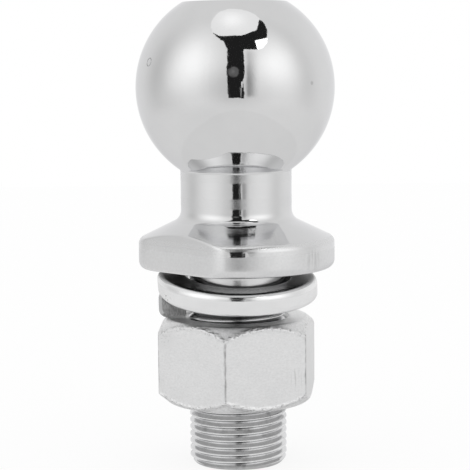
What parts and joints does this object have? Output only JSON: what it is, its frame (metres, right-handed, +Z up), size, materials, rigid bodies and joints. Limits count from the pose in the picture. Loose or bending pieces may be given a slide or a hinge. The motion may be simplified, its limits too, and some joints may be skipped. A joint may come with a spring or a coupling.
{
  "type": "threaded tow ball",
  "caption": "Chromed towing ball on a coned flange with wrench flats and a threaded shank, with its split spring washer and hexagon nut.",
  "frame": {"origin": "middle of the shank's flat end face, on which the part stands", "axes": "+Z up the shank to the ball, +X to the right and -Y towards the camera of the picture"},
  "size_m": [0.0508, 0.0508, 0.1186],
  "materials": {
    "ball_chrome": "polished chrome plating",
    "washer_plating": "bright zinc plating on spring steel",
    "nut_plating": "satin zinc plating, with worn corners"
  },
  "bodies": {
    "ball_stud": {"ball_stud": "ball_chrome"},
    "washer": {"spring_lock_washer": "washer_plating"},
    "nut": {"hex_nut": "nut_plating"}
  },
  "joints": [
    {"name": "washer_slide", "type": "slide", "parent": "ball_stud", "child": "washer", "axis": [0, 0, -1], "range_m": [-0.0002, 0.016]},
    {"name": "nut_turn", "type": "hinge", "parent": "washer", "child": "nut", "pos_m": [0, 0, 0.0272], "axis": [0, 0, -1], "range_deg": [-39.6, 3174.8]}
  ],
  "couplings": [
    {"joint": "washer_slide", "follows": "nut_turn", "m_per_rad": 0.00028875}
  ]
}
